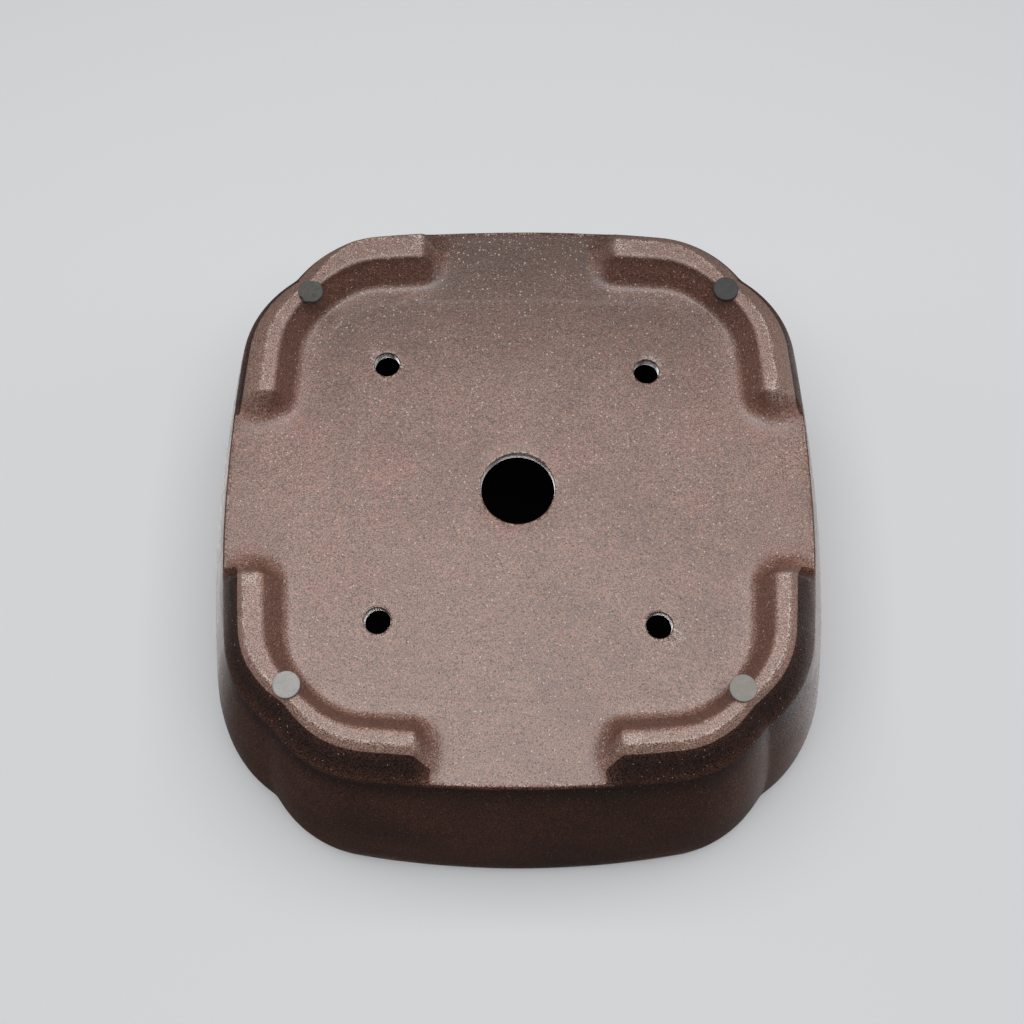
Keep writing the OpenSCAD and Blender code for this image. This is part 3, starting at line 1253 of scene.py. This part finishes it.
@dataclass
class Studio:
    """Two pale floors, soft lamps and the camera under the pot.

    Attributes:
        ground_z: The height of the pads' lower faces.
        rim_z: The height of the rim.
        mouth_r: The radius of the painted shade on the paper in the pot's mouth.
        tilt: How far the camera looks up from the level.
        across: The camera's shift to its right from the line through the target.
        above: The camera's shift up from that line.
    """

    ground_z: float
    rim_z: float
    mouth_r: float
    floor_half: float = 3.0
    tilt: float = math.radians(72.0)
    distance: float = 0.4726
    across: float = -0.0026
    above: float = -0.0078
    lens: float = 45.52
    target_z: float = 0.015
    sky_tone: Colour = (1.0, 0.96, 0.93)
    sky_strength: float = 0.12
    paper: Colour = (0.71, 0.725, 0.745)
    lamps: tuple[SoftLight, ...] = (
        SoftLight("main_softbox", (0.0, 0.0, -1.1), (0, 0, 0.1), (1.1, 0.87), 13.5),
        SoftLight("left_softbox", (1.1, 0.15, -0.35), (0, 0, 0.06), (0.5, 0.8), 1.6),
        SoftLight("right_softbox", (-1.1, 0.15, -0.35), (0, 0, 0.06), (0.5, 0.8), 1.6),
        SoftLight("left_rim_softbox", (0.75, 0.45, 1.3), (0, 0, 0.08), (0.6, 0.6), 10.0),
        SoftLight("right_rim_softbox", (-0.95, 0.25, 1.1), (0, 0, 0.08), (1.0, 0.6), 10.5),
        SoftLight("overhead_softbox", (0.0, 0.0, 1.5), (0, 0, 0), (0.6, 0.6), 7.0),
    )

    def build(self) -> None:
        """Builds the floors, the lamps, the sky and the camera."""
        self._floor("rim_table", self.rim_z + 0.0003, True,
                    TableTop(self.paper, "rim_table_paper", self.mouth_r))
        self._floor("foot_table", self.ground_z - 0.0003, False,
                    TableTop(self.paper, "foot_table_paper"))
        for lamp in self.lamps:
            lamp.build()
        self._sky()
        self._camera()
        bpy.context.scene.view_settings.view_transform = "Standard"

    def _floor(self, name: str, z: float, from_below: bool, finish: TableTop) -> None:
        """Adds one pale floor that shows on one side and throws no shade.

        Args:
            name: The floor's name.
            z: Its height.
            from_below: Whether it shows from below.
            finish: Its paper.
        """
        deselect_all()
        bpy.ops.mesh.primitive_plane_add(size=2 * self.floor_half, location=(0, 0, 0))
        floor = bpy.context.object
        floor.name = name
        bpy.ops.object.mode_set(mode="EDIT")
        bpy.ops.mesh.select_all(action="SELECT")
        bpy.ops.transform.translate(value=(0, 0, z))
        if from_below:
            bpy.ops.mesh.flip_normals()
        bpy.ops.object.mode_set(mode="OBJECT")
        floor.data.materials.append(finish.material())
        floor.visible_shadow = False
        floor.visible_diffuse = False
        floor.visible_glossy = False

    def _sky(self) -> None:
        """Sets a pale even sky."""
        sky = bpy.data.worlds.new("pale_sky")
        sky.use_nodes = True
        light = sky.node_tree.nodes["Background"].inputs
        light["Color"].default_value = (*self.sky_tone, 1.0)
        light["Strength"].default_value = self.sky_strength
        bpy.context.scene.world = sky

    def _camera(self) -> None:
        """Puts the camera under the pot, looking up at its underside."""
        up = Vector((0, math.sin(self.tilt), -math.cos(self.tilt)))
        ahead = Vector((0, math.cos(self.tilt), math.sin(self.tilt)))
        right = Vector((-1, 0, 0))
        target = Vector((0, 0, self.target_z))
        place = target + right * self.across + up * self.above - ahead * self.distance
        turn = Matrix((right, up, -ahead)).transposed()
        bpy.ops.object.camera_add(location=place, rotation=turn.to_euler())
        camera = bpy.context.object
        camera.name = "studio_camera"
        camera.data.lens = self.lens
        camera.data.sensor_width = 36.0
        camera.data.clip_start = 0.01
        bpy.context.scene.camera = camera


# ---------------------------------------------------------------------------------------------
# Assembly
# ---------------------------------------------------------------------------------------------


def attach(piece: bpy.types.Object, slot: str, *nodes: str) -> None:
    """Rides a piece on the pot's body and lets it stand for CAD nodes.

    Args:
        piece: The piece.
        slot: The record's material slot for the piece's finish; not used.
        *nodes: The CAD nodes that it stands for.
    """
    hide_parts(*nodes)
    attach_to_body(piece, "root")
    triangles = sum(len(face.vertices) - 2 for face in piece.data.polygons)
    LOG.info("%s: %d triangles, stands for %d CAD nodes", piece.name, triangles, len(nodes))


def fired_nodes() -> list[str]:
    """The CAD nodes that are fired into one body."""
    return [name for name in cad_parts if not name.startswith("pad_")]


def main() -> None:
    """Builds the pot, its pads and the studio, and reports each piece."""
    logging.basicConfig(level=logging.INFO, format="%(name)s: %(message)s")
    slab_low, slab_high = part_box("floor_slab")
    lip_low, lip_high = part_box("rim_lip")
    body = FiredBody(
        base=LobeLine(slab_high.x + 0.007, 0.121, 0.550, 0.041),
        rim=LobeLine(lip_high.x + 0.007, 0.141, 0.390, 0.050),
        floor_z=slab_low.z, seat_z=slab_high.z, rim_z=lip_high.z)
    body.build()
    body.dress(FiredClay())
    attach(body.piece, "bare_clay", *fired_nodes())

    # Each pad's tone holds painted light on one grey foam: the front pads are painted lighter, the
    # back ones darker.
    pads = {
        FootPad(Corner.BACK_RIGHT, (0.0012, -0.0028), 0.0009, 2.3): ((0.100, 0.098, 0.090), 0.45),
        FootPad(Corner.BACK_LEFT, (-0.0008, -0.0018), 0.0, 5.1): ((0.060, 0.062, 0.060), 0.6),
        FootPad(Corner.FRONT_LEFT, (0.0010, 0.0010), 0.0, 8.6): ((0.28, 0.267, 0.242), 0.75),
        FootPad(Corner.FRONT_RIGHT, (0.0024, 0.0022), 0.0, 11.9): ((0.39, 0.385, 0.375), 0.75)}
    film = AdhesiveFilm()
    for pad, (tone, depth) in pads.items():
        foam, glue = pad.build()
        shade = tuple(depth * part for part in tone)
        pad.dress(PadFoam(f"pad_foam_{pad.corner.tag}", tone, shade), film)
        attach(foam, "grey_pad", f"pad_{pad.corner.tag}")
        attach(glue, "adhesive_film", f"pad_film_{pad.corner.tag}")

    Studio(ground_z=0.0, rim_z=lip_high.z, mouth_r=0.122).build()
    LOG.info("studio: %d lamps", len(bpy.data.lights))


if __name__ == "__main__":
    main()
